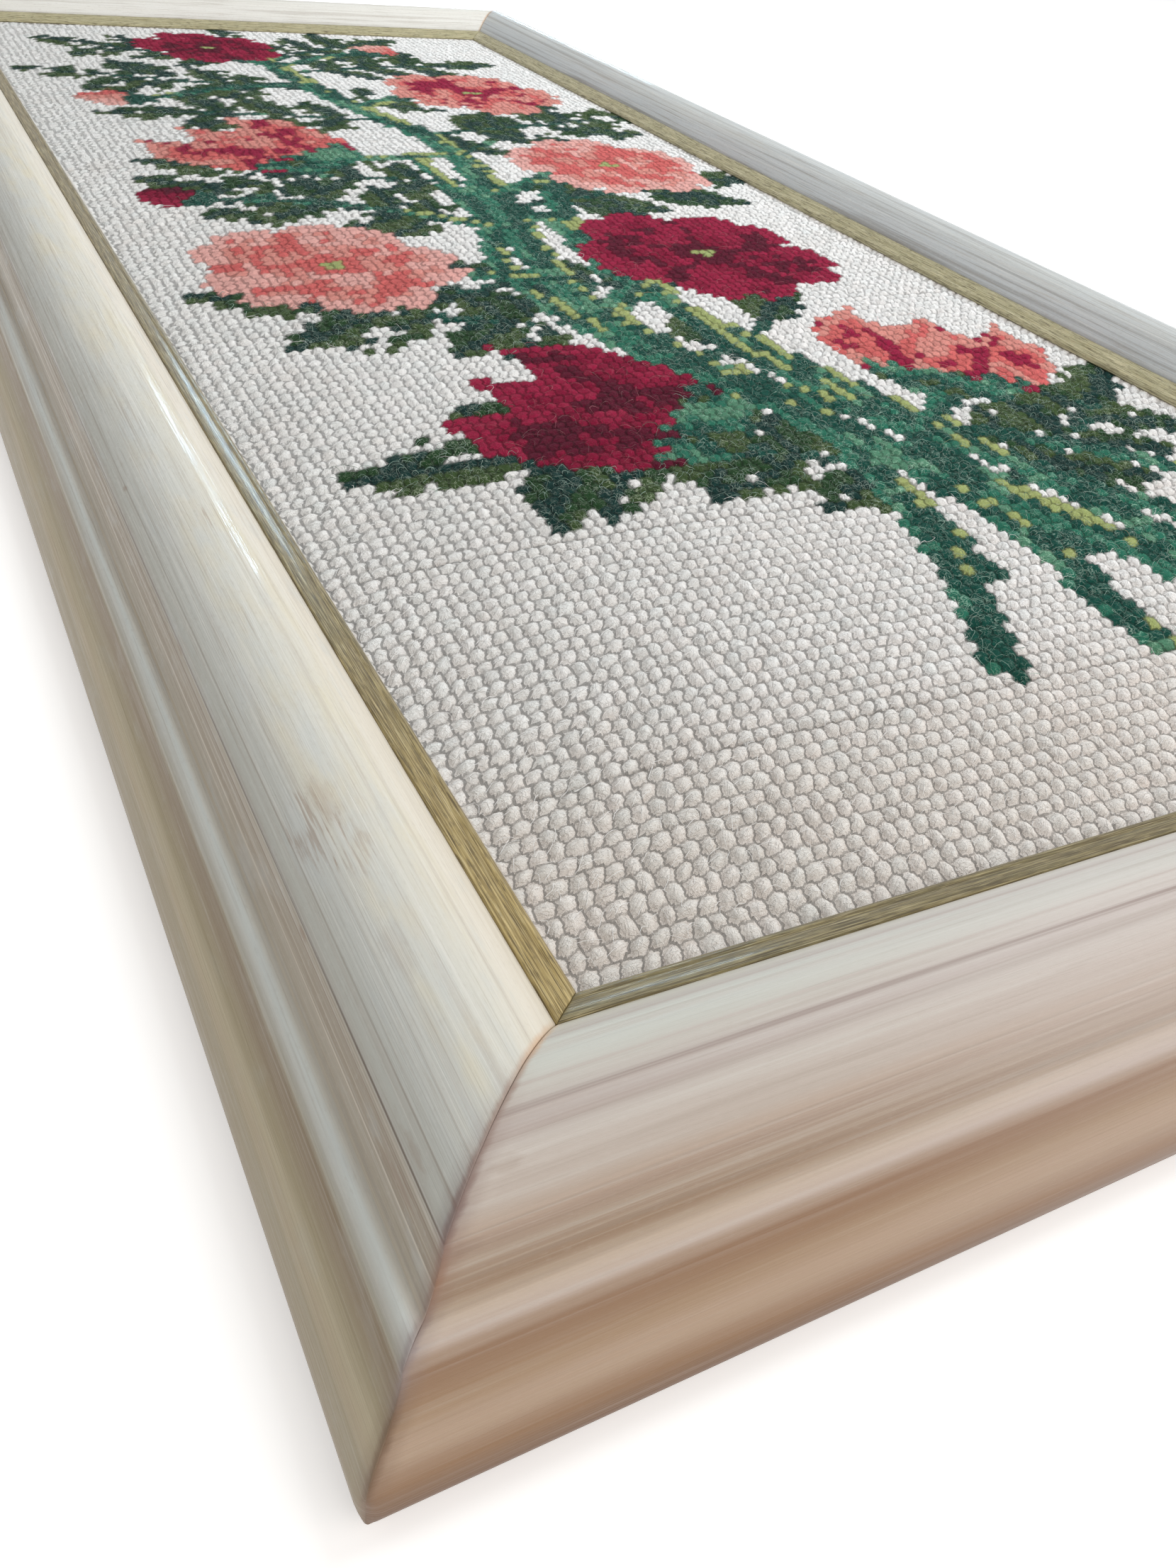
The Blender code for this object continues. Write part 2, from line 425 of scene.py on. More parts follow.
def whitened_wood(name, coat, coat_roughness):
    """White paint rubbed into a streaky wood and varnished, darker in the hollows partly by glaze and
    partly by painted shade, with painted highlights on its bright bands and painted light towards the
    bottom rail's right end.
    """
    f = Finish(name)
    grain = f.attribute("grain")
    along, girth, _ = f.parts(grain)
    mitre, show, rail = f.parts(f.attribute("marks"))
    broad = f.streaks(grain, 260, 4.6, 0)
    medium = f.streaks(grain, 120, 1.4, 4)
    fine = f.streaks(grain, 34, 0.5, 9)
    hair = f.streaks(grain, 17, 0.24, 14, 2.0)
    reed = f.streaks(grain, 90, 0.34, 43, 2.0)
    ridges = f.streaks(grain, 70, 0.85, 53, 2.0)
    speck = f.streaks(grain, 1.3, 0.45, 47, 2.0, 0.7)
    patch = f.streaks(grain, 34, 8.0, 19)
    blotch = f.streaks(grain, 14, 4.0, 31, 4.0)
    ragged = f.streaks(grain, 4.5, 1.2, 37, 4.0, 0.7)
    dash = f.streaks(grain, 7, 0.4, 25, 1.5)

    warm = f.between(rail, 0.0, 1.0)
    cool = f.between(warm, 1.0, 0.0)
    far_side = f.between(rail, 0.0, -1.0)
    calm = f.between(girth, 28.0, 33.0, 1.0, 0.35)
    crisp = f.times(f.between(along, 120, 262, 1.0, 0.55), f.between(rail, 0.0, 1.0, 1.0, 0.3), calm)
    inner = f.times(f.between(girth, 18.5, 13.5), f.between(girth, 4.0, 8.0))
    inner_cool = f.times(inner, cool)
    hollow = f.times(f.between(girth, 21.8, 22.4), f.between(girth, 28.6, 27.6))
    crisp_hollow = f.times(hollow, crisp)
    crown = f.times(warm, f.between(girth, 25.0, 19.0))
    # painted light: the bottom rail paler and rosier towards its right end, where more light falls on it
    painted_light_right = f.times(warm, f.between(girth, 31.5, 30.0, 0.3, 1.0))

    wander = f.centred(broad, 1.8)
    share = f.math("DIVIDE", f.plus(girth, wander), GIRTH)
    colour = f.mix(warm, f.ramp(share, COOL_BANDS), f.ramp(share, WARM_BANDS))
    colour = f.tinted(colour, (
        (patch, 0.44, 0.62, 0.5, (0.64, 0.575, 0.405), inner_cool),
        (blotch, 0.5, 0.66, 0.3, (0.63, 0.565, 0.42), inner_cool),
        (blotch, 0.48, 0.34, 0.3, (0.52, 0.55, 0.55), f.times(cool, calm)),
        # the right and top rails greyer and cooler, partly by their wood's tone and partly by painted cool
        # light
        (rail, 0.0, -1.0, 0.85, (0.5, 0.535, 0.555)),
        (girth, 9.0, 2.0, 0.45, (0.64, 0.69, 0.73), far_side),
        (medium, 0.5, 0.64, 0.45, (0.24, 0.25, 0.25), far_side),
        (rail, -1.0, -2.0, 0.55, (0.9, 0.86, 0.78)),
        (broad, 0.5, 0.34, 0.3, (0.56, 0.58, 0.53), crown),
        (broad, 0.52, 0.68, 0.32, (0.47, 0.375, 0.34), crown),
        (broad, 0.52, 0.7, 0.16, (0.7, 0.67, 0.59), calm),
        # painted light towards the bottom rail's right end
        (along, -105.0, -40.0, 0.4, (0.7, 0.635, 0.615), painted_light_right),
        (medium, 0.54, 0.7, 0.24, (0.36, 0.3, 0.25), calm),
        (medium, 0.46, 0.3, 0.22, (0.72, 0.71, 0.67), calm),
        (fine, 0.53, 0.7, 0.34, (0.33, 0.285, 0.23), crisp),
        (fine, 0.46, 0.3, 0.3, (0.78, 0.76, 0.71), crisp),
        (hair, 0.56, 0.72, 0.42, (0.31, 0.255, 0.2), crisp),
        (hair, 0.43, 0.3, 0.28, (0.8, 0.78, 0.74), crisp),
        (speck, 0.54, 0.74, 0.22, (0.34, 0.29, 0.24), crisp),
        (speck, 0.46, 0.28, 0.18, (0.76, 0.74, 0.7), crisp),
        (reed, 0.54, 0.66, 0.42, (0.24, 0.18, 0.13), crisp_hollow),
        (reed, 0.45, 0.33, 0.5, (0.62, 0.55, 0.45), crisp_hollow),
    ))
    place = f.plus(girth, wander, 0.25)
    uneven = f.between(reed, 0.35, 0.58, 0.35, 1.0)
    for at, half_width, on_sides, on_bottom, line in WOOD_LINES:
        strength = f.between(rail, 0.0, 1.0, on_sides, on_bottom)
        row = (f.apart(place, at), half_width, half_width * 0.2, 1.0, line, uneven, strength)
        colour = f.tinted(colour, [row])

    dashes = f.between(dash, 0.46, 0.6)
    smears = f.between(fine, 0.3, 0.6, 0.5, 1.0)
    stains = [(side, *stain) for side, rows in WOOD_STAINS.items() for stain in rows]
    for side, along_it, round_it, half_length, half_width, amount, dashed in stains:
        centre = (along_it, round_it, SIDE_STEP * len(side))
        size = (half_length, half_width, 3.0)
        spot = f.moved(grain, tuple(1 / d for d in size), tuple(-c / d for c, d in zip(centre, size)))
        away = f.add("ShaderNodeVectorMath", {0: spot}, operation="LENGTH").outputs["Value"]
        edge = f.plus(away, f.centred(ragged, 2.4))
        row = (edge, 1.15, 0.35, amount, (0.3, 0.215, 0.16), dashes if dashed else smears)
        colour = f.tinted(colour, [row])

    worn = f.plus(girth, ragged, 1.3)
    joint = f.plus(mitre, f.centred(ragged, 1.2))
    line = f.ramp(f.math("DIVIDE", girth, GIRTH), MITRE_LINE)
    colour = f.tinted(colour, (
        (worn, 0.95, 0.6, 0.6, (0.25, 0.18, 0.1), f.between(far_side, 1.0, 0.0, 0.2, 1.0)),
        (joint, 2.8, 0.3, 0.36, line, f.between(girth, 6.0, 20.0)),
        (joint, 1.05, 0.15, 0.75, line, f.between(patch, 0.25, 0.55, 0.65, 1.0)),
    ))
    raw = f.mix(fine, (0.5, 0.33, 0.17), (0.62, 0.44, 0.25))
    f.set(
        Base_Color=f.mix(show, raw, colour),
        Roughness=f.between(fine, 0.3, 0.7, 0.5, 0.66),
        Specular_IOR_Level=0.35,
        Normal=f.bump(f.plus(fine, hair, 0.7), 0.00006),
        Coat_Weight=coat,
        Coat_Roughness=coat_roughness,
        Coat_Normal=f.bump(f.plus(ridges, fine, 0.35), 0.00006),
    )
    return f.material


def gilt():
    """Brushed gold paint over wood, thin and brown in streaks, with painted shade along its foot."""
    f = Finish("gilt")
    grain = f.attribute("grain")
    girth = f.parts(grain)[1]
    tone = f.parts(f.attribute("marks"))[2]
    fine = f.streaks(grain, 11, 0.34, 0)
    hair = f.streaks(grain, 6.5, 0.17, 5, 2.0)
    patch = f.streaks(grain, 18, 1.6, 11)
    mottle = f.streaks(grain, 2.4, 0.7, 21, 4.0)
    worn = f.ramp(fine, (
        (0.32, 0.085, 0.062, 0.028), (0.46, 0.19, 0.145, 0.06), (0.58, 0.28, 0.225, 0.095),
        (0.7, 0.46, 0.385, 0.2),
    ))
    bright = f.ramp(fine, ((0.34, 0.25, 0.17, 0.055), (0.5, 0.44, 0.325, 0.12), (0.68, 0.7, 0.54, 0.25)))
    pale = f.ramp(fine, ((0.34, 0.4, 0.375, 0.21), (0.68, 0.72, 0.68, 0.46)))
    colour = f.tinted(worn, (
        (patch, 0.42, 0.7, 0.6, (0.17, 0.145, 0.065)),
        (tone, 0.0, 1.0, 0.8, bright),
        (tone, 0.0, -1.0, 0.85, pale),
        (mottle, 0.52, 0.66, 0.5, (0.11, 0.08, 0.034)),
        (mottle, 0.46, 0.34, 0.35, (0.44, 0.36, 0.18)),
        (hair, 0.54, 0.64, 0.75, (0.075, 0.052, 0.024)),
        (hair, 0.45, 0.35, 0.5, (0.6, 0.51, 0.31)),
        # painted shade: a dark brown line at the slip's foot where it meets the stitches, left off the
        # right and top slips
        (girth, 0.5, 0.0, 0.5, (0.1, 0.075, 0.035), f.between(tone, -1.0, -0.2)),
    ))
    f.set(
        Base_Color=colour,
        Metallic=0.3,
        Roughness=f.between(fine, 0.3, 0.7, 0.5, 0.36),
        Normal=f.bump(f.plus(fine, hair, 0.6), 0.00008),
        Coat_Weight=0.32,
        Coat_Roughness=0.16,
    )
    return f.material


def wool():
    """Matt spun wool: fibres along each strand, loose curled ones over them, and painted shade: darker in
    the hollows, towards the bottom of the picture and towards its left, and along the strip under the slip.
    """
    f = Finish("wool")
    # the dye attribute also holds painted shade along the strip under the slip
    dye = f.attribute("dye", "Color")
    strand = f.attribute("strand")
    place = f.place()
    across_picture, up_picture, height = f.parts(place)
    fibre = f.noise(f.moved(strand, (0.55, 4.6, 1.0)), 1.0, 3.0, 0.66)
    ply = f.noise(f.moved(strand, (0.4, 1.5, 1.0), (0, 0, 40)), 1.0, 1.0, 0.5)
    tuft = f.noise(place, 1500.0, 4.0, 0.72)
    soil = f.noise(place, 30.0, 4.0, 0.6)
    # painted shade: darker in the low places between the stitches, weaker farther up the picture
    hollow = f.times(f.between(height, 0.01452, 0.01396), f.between(up_picture, -0.12, 0.14, 1.0, 0.15))
    dark = f.between(f.add("ShaderNodeRGBToBW", {0: dye}).outputs[0], 0.5, 0.2)
    red_part, green_part, _ = f.add("ShaderNodeSeparateColor", {0: dye}).outputs
    green = f.between(f.math("SUBTRACT", green_part, red_part), 0.0, 0.03)

    # thin wandering lines where a noise crosses its middle
    hair = None
    for scale, shift, thin in ((520.0, 0.0, 0.02), (640.0, 0.31, 0.022), (800.0, 0.67, 0.026)):
        field = f.noise(f.moved(place, (1, 1, 0.3), (shift, shift, 0)), scale, 1.6, 0.55)
        gaps = f.noise(f.moved(place, shift=(0, shift, 1)), 420.0, 1.0, 0.5)
        line = f.times(f.between(f.apart(field, 0.5), thin, thin * 0.3), f.between(gaps, 0.42, 0.56))
        hair = line if hair is None else f.math("MAXIMUM", hair, line)

    # the colour of the painted shade in the hollows, warmer and darker near the bottom of the picture
    gap = f.mix(f.between(up_picture, -0.24, -0.08), (0.76, 0.705, 0.67), (0.82, 0.81, 0.81))
    shaded = f.colour_times(dye, gap)
    clear = f.between(up_picture, -0.25, -0.19, 0.8, 1.0)
    depth = f.times(hollow, f.mix(dark, (0.55, 0.55, 0.55), (0.4, 0.4, 0.4)))
    colour = f.tinted(f.mix(depth, dye, shaded), (
        (fibre, 0.52, 0.34, 0.32, shaded, clear),
        (tuft, 0.52, 0.36, 0.28, shaded),
        (fibre, 0.54, 0.72, 0.22, (0.97, 0.97, 0.96), f.times(clear, f.between(dark, 1.0, 0.0))),
        (tuft, 0.5, 0.66, 0.5, f.colour_times(dye, (1.5, 1.5, 1.5)), dark),
    ))
    frizz = f.between(f.noise(place, 70.0, 2.0, 0.5), 0.4, 0.62, 0.35, 0.95)
    fuzzy = f.times(f.plus(f.times(green, 0.9), 0.1), f.times(dark, frizz))
    pale = f.mix(0.3, f.colour_times(dye, (2.5, 2.2, 2.2)), (0.74, 0.8, 0.7))
    colour = f.mix(f.times(hair, fuzzy), colour, pale)
    colour = f.tinted(colour, [(soil, 0.52, 0.74, 0.16, f.colour_times(dye, (0.88, 0.78, 0.73)))])
    # painted shade: the cloth darker and warmer towards the bottom of the picture, near the bottom rail
    colour = f.tinted(colour, [(up_picture, -0.205, -0.24, 1.0, f.colour_times(colour, (0.94, 0.905, 0.875)))])
    # painted shade: the cloth darker towards the left of the picture, away from the window
    colour = f.tinted(colour, [(across_picture, 0.03, -0.1, 1.0, f.colour_times(colour, (0.87, 0.87, 0.86)))])
    relief = f.plus(f.plus(f.plus(fibre, ply, 0.8), tuft, 1.1), hair, 0.25)
    f.set(
        Base_Color=colour,
        Roughness=0.95,
        Specular_IOR_Level=0.06,
        Normal=f.bump(relief, 0.0003),
        Sheen_Weight=0.05,
        Sheen_Roughness=0.5,
    )
    return f.material


def loose_wool():
    """Single fibres, paler than their yarn."""
    f = Finish("loose wool")
    worn = f.noise(f.place(), 900.0, 2.0, 0.5)
    colour = f.tinted(f.attribute("dye", "Color"), [(worn, 0.45, 0.7, 0.15, (0.8, 0.8, 0.74))])
    f.set(Base_Color=colour, Roughness=0.8, Sheen_Weight=0.3, Sheen_Roughness=0.4)
    return f.material


def canvas_thread():
    """The bare canvas, seen only from its rims."""
    f = Finish("canvas")
    thread = f.noise(f.place(), 1400.0, 3.0, 0.6)
    colour = f.mix(f.between(thread, 0.35, 0.65), (0.36, 0.3, 0.24), (0.6, 0.53, 0.46))
    f.set(Base_Color=colour, Roughness=0.95, Normal=f.bump(thread, 0.0003))
    return f.material


def pressed_board():
    """Brown pressed board with a fine felted grain."""
    f = Finish("pressed board")
    place = f.place()
    speck = f.noise(place, 900.0, 4.0, 0.7)
    felt = f.noise(f.moved(place, (160, 420, 300)), 1.0, 4.0, 0.65)
    colour = f.mix(felt, (0.3, 0.2, 0.12), (0.44, 0.32, 0.2))
    colour = f.tinted(colour, [(speck, 0.58, 0.75, 0.5, (0.16, 0.1, 0.06))])
    f.set(Base_Color=colour, Roughness=f.between(felt, 0.3, 0.7, 0.72, 0.88), Normal=f.bump(speck, 0.0002))
    return f.material


# Frame


def section_places(reach, half_sight):
    """X of each outline point in each cross-section of one mitred side, from left to right."""
    count = max(2, int(half_sight * 2 / SECTION_SPACING))
    left = [-(reach - d) for d in END_SECTIONS]
    inner = [left[-1] * (1 - 2 * step / count) for step in range(1, count)]
    right = [reach - d for d in reversed(END_SECTIONS)]
    return np.array(left + inner + right)


def inset_outline(outline, amount, shown):
    """The outline with its shown points moved in by an amount across the face."""
    run = np.roll(outline, -1, 0) - np.roll(outline, 1, 0)
    run /= np.maximum(np.hypot(*run.T), 1e-9)[:, None]
    inward = np.stack([run[:, 1], -run[:, 0]], 1)
    return outline + inward * (amount * shown)[:, None]


def frame_length(side, half_sight, face, back, tone, ease_from=None, wave=0.0):
    """Points, faces, attributes and texture places of one side along X, with its sight edge on Y = 0.

    The grain attribute holds places along the side and round its face, and a step for each side. The
    marks are the distance from the mitre, whether the point shows, and the tone.
    """
    outline = np.concatenate([face, back])
    x = section_places(half_sight + outline[:, 0], half_sight)
    sections, count = x.shape
    shown = np.arange(count) < len(face)
    steps = np.hypot(*np.diff(face, axis=0).T)
    girth = np.concatenate([[0], np.cumsum(steps), np.zeros(len(back))])

    out = np.tile(outline[:, 0], (sections, 1))
    up = np.tile(outline[:, 1], (sections, 1))
    for step, amount in enumerate(END_ROUNDING):
        eased = inset_outline(outline, amount, shown.astype(float))
        for section in (step, sections - 1 - step):
            out[section], up[section] = eased[:, 0], eased[:, 1]
    if wave:
        phases = np.random.default_rng(SEED + len(side)).uniform(0, 2 * pi, len(WAVE_LENGTHS))
        up += wave * sum(np.sin(x / length + phase) for length, phase in zip(WAVE_LENGTHS, phases)) * shown
    if ease_from is not None:
        corner = half_sight + ease_from
        over_x, over_y = np.abs(x) - corner, out - ease_from
        outside = (over_x > 0) & (over_y > 0)
        far = np.hypot(over_x, over_y)
        pull = np.where(outside & (far > CORNER_EASE), CORNER_EASE / np.maximum(far, 1e-9), 1.0)
        x = np.where(outside, np.sign(x) * (corner + over_x * pull), x)
        out = np.where(outside, ease_from + over_y * pull, out)

    points = np.stack([x, -out, up], 2).reshape(-1, 3)
    index = np.arange(sections * count).reshape(sections, count)
    following = np.roll(index, -1, 1)
    walls = np.stack([index[:-1], following[:-1], following[1:], index[1:]], 2).reshape(-1, 4)
    faces = [walls, index[:1, ::-1], index[-1:]]
    distance = half_sight + out - np.abs(x)
    whole = np.ones_like(x)
    attributes = {
        "grain": np.stack([x, whole * girth, whole * SIDE_STEP * len(side)], 2),
        "marks": np.stack([distance, whole * shown, whole * tone(x)], 2),
    }
    span = np.hypot(*(np.roll(outline, -1, 0) - outline).T)
    round_it = np.concatenate([[0], np.cumsum(span)]) / span.sum() * 0.93 + 0.07
    along = x / np.ptp(x, axis=0) + 0.5
    first = np.stack([along, whole * round_it[:-1]], 2)
    second = np.stack([np.roll(along, -1, 1), whole * round_it[1:]], 2)
    wall_places = np.stack([first[:-1], second[:-1], second[1:], first[1:]], 2)
    end = (outline - outline.min(0)) / np.ptp(outline, axis=0) * (0.4, 0.05)
    return points, faces, attributes, [wall_places, end[::-1], end + (0.5, 0)]


def set_round(points, turn, distance):
    """Turn a side's points to their place round the opening."""
    x, y, z = points.T
    placed_x = x * cos(turn) - y * sin(turn) + distance * sin(turn)
    placed_y = x * sin(turn) + y * cos(turn) - distance * cos(turn)
    return np.stack([placed_x, placed_y, z], 1)


def slip_tone(side):
    """How bright or pale a slip's gilding is along it: 1 bright, -1 pale."""
    if side == "left":
        return lambda x: np.clip((x - 150) / 105, 0, 1) ** 1.5
    return lambda x: 0.0 if side == "bottom" else -1.0


def add_frame(wood, waxed, gold):
    """The four moulded rails and the four lengths of gilt slip."""
    face = face_outline(MOULDING_FACE)
    ledge = FACE_HEIGHT + LEDGE_HEIGHT
    back = [(REBATE_REACH, 0.0), (REBATE_REACH, ledge), (face[0][0], ledge)]
    slip = face_outline(SLIP_FACE)
    tongue = FACE_HEIGHT + SLIP_TONGUE_TOP
    under = [(SLIP_TONGUE_START, tongue), (SLIP_TONGUE_END, tongue), (SLIP_TONGUE_END, FACE_HEIGHT + GAP)]
    ease_from = face[:, 0].max() - CORNER_EASE
    for side, turn, half_sight, distance, mark in SIDES:
        rail = frame_length(side, half_sight, face, back, lambda x: mark, ease_from, WAVE_HEIGHT)
        inner = frame_length(side, half_sight, slip, under, slip_tone(side))
        for name, node, material, slot, (points, *rest) in (
            ("moulding", "rail", waxed if side == "bottom" else wood, "frame_wood", rail),
            ("slip", "gilt_slip", gold, "gilt", inner),
        ):
            placed = set_round(points, turn, distance)
            add_piece(f"{name}_{side}", material, slot, placed, *rest, [f"{node}_{side}"])


# Needlepoint design: a climbing branch of round and cupped flowers, drawn on the stitch grid


class Chart:
    """The yarn of each stitch, on a grid that runs a little past the opening.

    Places of the design are in its own units from the opening's lower left corner.
    """

    FIRST = -2

    def __init__(self, columns, rows):
        self.x, self.y = np.meshgrid(
            (np.arange(self.FIRST, columns) + 0.5) * COLUMN_PITCH,
            (np.arange(self.FIRST, rows) + 0.5) * ROW_PITCH, indexing="ij"
        )
        self.column, self.row = self.x / UNIT - 0.5, self.y / UNIT - 0.5
        self.yarn = np.zeros(self.column.shape, int)
        self.rough = np.random.default_rng(SEED).random(self.column.shape)
        self.patchy = self.spread(self.rough, (-1, 0, 1), (-1, 0, 1))
        self.scatter = np.roll(self.patchy[::-1, ::-1], 17, 1)
        self.runs = self.spread(self.scatter, (-2, 0, 2), (-4, -2, 0, 2, 4))

    @staticmethod
    def spread(values, columns, rows):
        """Values blurred over near stitches and brought back to the range from 0 to 1."""
        blurred = sum(np.roll(values, (i, j), (0, 1)) for i in columns for j in rows)
        blurred /= len(columns) * len(rows)
        return np.clip(0.5 + (blurred - blurred.mean()) / blurred.std() * 0.28, 0, 1)

    def paint(self, inside, main, *layers):
        """Paint a shape in one yarn and then in layers, each a yarn and where in the shape it goes."""
        for yarn, where in ((main, True), *layers):
            self.yarn[inside & where] = YARN_NAMES.index(yarn)

    def worked_in(self, yarns):
        return np.isin(self.yarn, [YARN_NAMES.index(name) for name in yarns])

    def seen_from(self, place, heading):
        """Distances ahead and to the side of a place, for a heading in degrees above +X."""
        dx, dy = self.column - place[0], self.row - place[1]
        c, s = cos(radians(heading)), sin(radians(heading))
        return dx * c + dy * s, dy * c - dx * s

    def stem(self, points, width, light="lime", shade="sea green"):
        """A smooth stem through points, with a lighter edge."""
        for (x0, y0), (x1, y1) in zip(points, points[1:]):
            length = max(hypot(x1 - x0, y1 - y0), 1e-6)
            ahead, side = self.seen_from((x0, y0), atan2(y1 - y0, x1 - x0) * 180 / pi)
            self.paint(
                (ahead > -0.6) & (ahead < length + 0.6) & (abs(side) < width), "emerald",
                (shade, (side > width * 0.2) & (self.patchy > 0.3)),
                ("mint", (self.patchy > 0.74) & (self.runs > 0.45)),
                (light, (side < -width * 0.22) & (self.runs > 0.6)),
            )

    def leaf(self, base, heading, length, width):
        """A pointed leaf with a notched edge, a dark midrib and a lighter half."""
        dark, rib, light = LEAF_YARNS
        ahead, side = self.seen_from(base, heading)
        t = np.clip(ahead / length, 0, 1)
        notch = 0.86 + 0.14 * np.sin(ahead * 2.1)
        half = width * np.sin(pi * t ** 0.85) ** 0.9 * notch * (0.62 + 0.66 * self.patchy)
        self.paint(
            (ahead > 0) & (ahead < length) & (abs(side) < half), dark,
            (light, (side > half * 0.15) & (self.patchy > 0.42)),
            (rib, (side < half * 0.1) & (self.patchy < 0.4)),
            (rib, abs(side) < 0.55),
        )

    def spray(self, base, heading, length, pairs, size, bend):
        """A leaf stalk with its leaflets in pairs and one at the tip."""
        line, (x, y) = [base], base
        for step in range(1, 9):
            turned = radians(heading + bend * step / 8)
            x, y = x + cos(turned) * length / 8, y + sin(turned) * length / 8
            line.append((x, y))
        self.stem(line, 0.8, "emerald", "blue green")
        for pair in range(pairs):
            share = 0.26 + 0.6 * pair / max(pairs - 1, 1)
            grown = size * (0.86 + 0.14 * pair / max(pairs - 1, 1))
            for swing in (58, -58):
                self.leaf(line[int(share * 8)], heading + bend * share + swing, grown, grown * 0.31)
        self.leaf(line[-2], heading + bend, size * 1.15, size * 0.32)

    def rosette(self, middle, radius, yarns, turn):
        """A round open flower: five notched petals with light rims and dark seams round a small eye."""
        light, main, dark = yarns
        dx, dy = self.column - middle[0], self.row - middle[1]
        far = np.hypot(dx, dy)
        petal = abs(np.cos((np.arctan2(dy, dx) + turn) * 5 / 2))
        rim = radius * (0.74 + 0.26 * petal ** 0.6 - 0.1 * (petal > 0.985))
        fold = petal < 0.16 + 0.2 * (1 - far / radius)
        ring = abs(far / rim - 0.52 - 0.08 * petal) < 0.045
        self.paint(
            far < rim, main,
            (light, self.patchy > 0.66),
            (light, far > rim * (0.66 + 0.3 * self.patchy)),
            (dark, (self.patchy < 0.26) & (far < rim * 0.85)),
            (dark, fold & (far < rim * 0.97) & (self.patchy < 0.8)),
            (dark, ring & (self.patchy < 0.6)),
            (dark, far < radius * 0.22),
            ("lime", far < radius * 0.08),
        )

    def cup(self, foot, heading, height, width, yarns):
        """A cupped flower seen from the side, with three pointed petals and green sepals."""
        light, main, dark = yarns
        ahead, side = self.seen_from(foot, heading)
        t = ahead / height
        half = width * np.sqrt(np.clip(np.sin(pi * np.clip(t * 0.62 + 0.1, 0, 1)), 0, 1))
        points = 1 - 0.26 * abs(np.sin(1.5 * pi * side / width)) ** 0.9
        seam = abs(abs(side) - width * (0.2 + 0.42 * t)) < 0.8
        self.paint(
            (t > 0) & (t < points) & (abs(side) < half), main,
            (light, self.patchy > 0.68),
            (dark, self.patchy < 0.24),
            (dark, seam & (t > 0.15)),
            (light, (t > points - 0.16) & (self.rough > 0.3)),
            (light, (abs(side) < width * 0.16) & (t > 0.35) & (self.rough > 0.4)),
            (dark, t < 0.16),
        )
        self.paint(
            (t > -0.1) & (t < 0.14 + 0.1 * abs(np.sin(side * 1.1))) & (abs(side) < half * 0.75 + 1),
            "emerald",
            ("sea green", self.patchy > 0.55),
            ("mint", self.patchy > 0.8),
            ("moss", self.patchy < 0.18),
        )

    def bud(self, foot, heading, length, yarns):
        """A small closed flower on its sepals."""
        light, main, dark = yarns
        ahead, side = self.seen_from(foot, heading)
        t = np.clip(ahead / length, 0, 1)
        half = length * 0.36 * np.sin(pi * (t * 0.9 + 0.08)) ** 0.8
        self.paint(
            (ahead > 0) & (ahead < length) & (abs(side) < half), main,
            (light, side > half * 0.3),
            (dark, side < -half * 0.45),
            ("emerald", t < 0.35),
        )


def curve(points):
    """A smooth line through points, by Catmull-Rom spans of ten steps."""
    ends = np.array([points[0], *points, points[-1]])
    line = []
    for a, b, c, d in zip(ends, ends[1:], ends[2:], ends[3:]):
        for t in (step / 10 for step in range(10)):
            square, cube = (2 * a - 5 * b + 4 * c - d) * t ** 2, (3 * b - a - 3 * c + d) * t ** 3
            line.append(0.5 * (2 * b + (c - a) * t + square + cube))
    return [*line, points[-1]]


